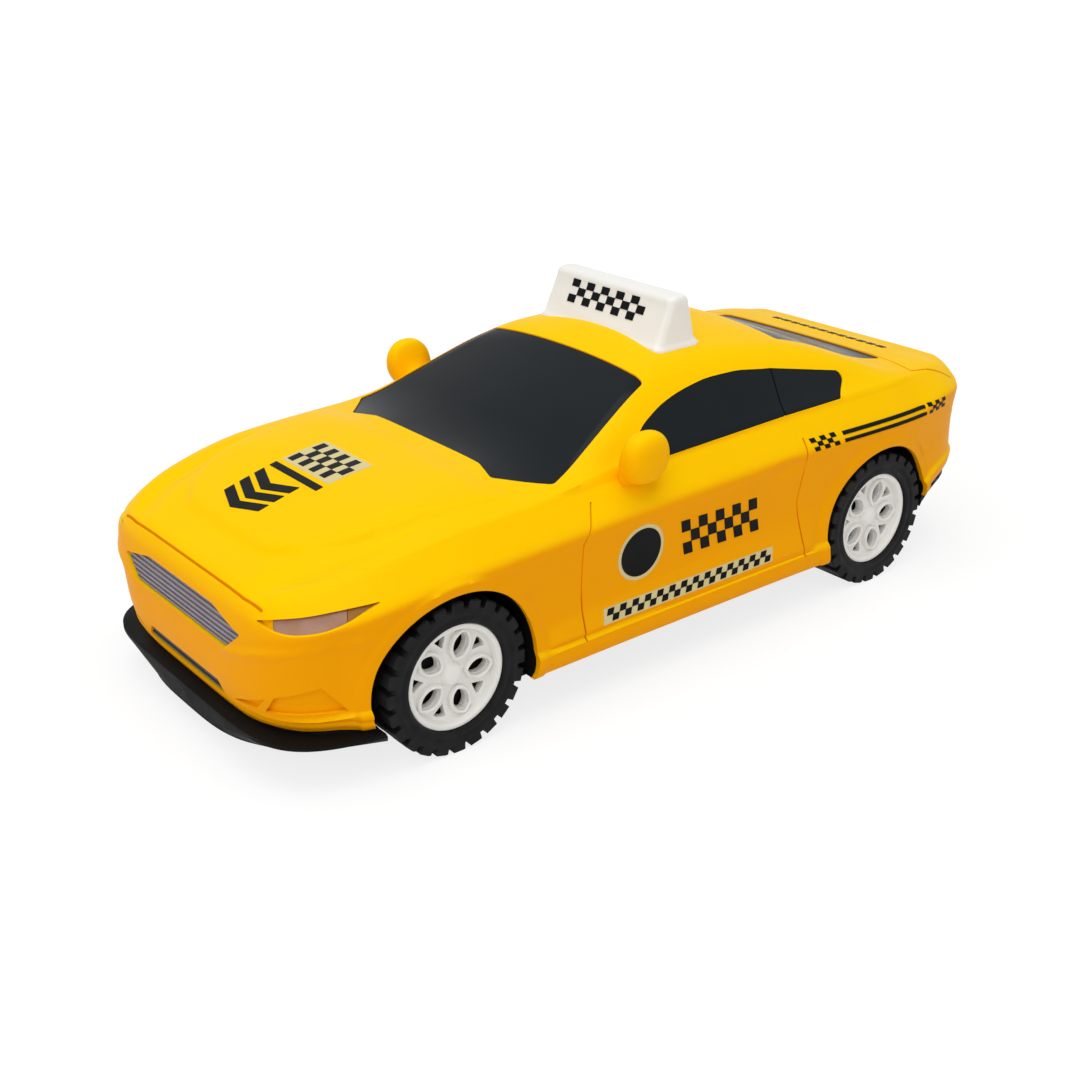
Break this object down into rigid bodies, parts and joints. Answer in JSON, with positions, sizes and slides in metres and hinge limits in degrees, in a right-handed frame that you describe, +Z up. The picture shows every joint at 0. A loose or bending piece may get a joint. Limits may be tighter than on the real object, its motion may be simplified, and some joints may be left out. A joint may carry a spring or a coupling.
{
  "type": "toy taxi car",
  "caption": "Yellow toy taxi saloon with a white roof sign, dark windows, checker trim and white rims on lugged tyres; the rear axle drives a friction flywheel.",
  "frame": {"origin": "on the floor under the middle of the overall box", "axes": "+X towards the nose, +Y to the car's left, +Z up"},
  "size_m": [0.24, 0.1084, 0.0873],
  "materials": {
    "yellow_plastic": "gloss moulded",
    "smoked_plastic": "gloss moulded",
    "black_plastic": "satin moulded",
    "grey_plastic": "satin grey",
    "dark_plastic": "satin moulded",
    "clear_plastic": "clear over a grey reflector",
    "red_plastic": "clear red",
    "white_plastic": "satin white",
    "tyre_rubber": "matt rubber",
    "gear_plastic": "natural moulded",
    "blue_plastic": "satin moulded",
    "die_cast_metal": "bare die-cast",
    "steel": "bright drawn"
  },
  "bodies": {
    "car_body": {"body_shell": "yellow_plastic", "window_insert": "smoked_plastic", "chassis_base": "black_plastic", "upper_grille": "grey_plastic", "lower_grille": "dark_plastic", "headlight_left": "clear_plastic", "headlight_right": "clear_plastic", "tail_light_left": "red_plastic", "tail_light_right": "red_plastic", "roof_sign": "white_plastic", "mirror_left": "yellow_plastic", "mirror_right": "yellow_plastic", "idler_shaft": "steel", "gear_case_left": "blue_plastic", "gear_case_right": "blue_plastic", "case_clamp_screws": "steel", "gear_case_screws": "steel", "body_screws": "steel"},
    "front_wheels": {"front_axle": "steel", "rim_front_left": "white_plastic", "rim_front_right": "white_plastic", "tyre_front_left": "tyre_rubber", "tyre_front_right": "tyre_rubber"},
    "rear_wheels": {"rear_axle": "steel", "rim_rear_left": "white_plastic", "rim_rear_right": "white_plastic", "tyre_rear_left": "tyre_rubber", "tyre_rear_right": "tyre_rubber", "drive_gear": "gear_plastic"},
    "idler": {"idler_gear": "gear_plastic"},
    "flywheel": {"flywheel_pinion": "gear_plastic", "flywheel_shaft": "steel", "flywheel_left": "die_cast_metal", "flywheel_right": "die_cast_metal"}
  },
  "joints": [
    {"name": "front_axle_spin", "type": "hinge", "parent": "car_body", "child": "front_wheels", "pos_m": [0.07545, 0, 0.0193], "axis": [0, 1, 0], "continuous": true},
    {"name": "rear_axle_spin", "type": "hinge", "parent": "car_body", "child": "rear_wheels", "pos_m": [-0.07055, 0, 0.0193], "axis": [0, 1, 0], "continuous": true},
    {"name": "idler_spin", "type": "hinge", "parent": "car_body", "child": "idler", "pos_m": [-0.06256, 0, 0.02221], "axis": [0, 1, 0], "continuous": true},
    {"name": "flywheel_spin", "type": "hinge", "parent": "car_body", "child": "flywheel", "pos_m": [-0.05458, 0, 0.02511], "axis": [0, 1, 0], "continuous": true}
  ],
  "couplings": [
    {"joint": "idler_spin", "follows": "rear_axle_spin", "ratio": -2.4},
    {"joint": "flywheel_spin", "follows": "rear_axle_spin", "ratio": 5.76}
  ]
}
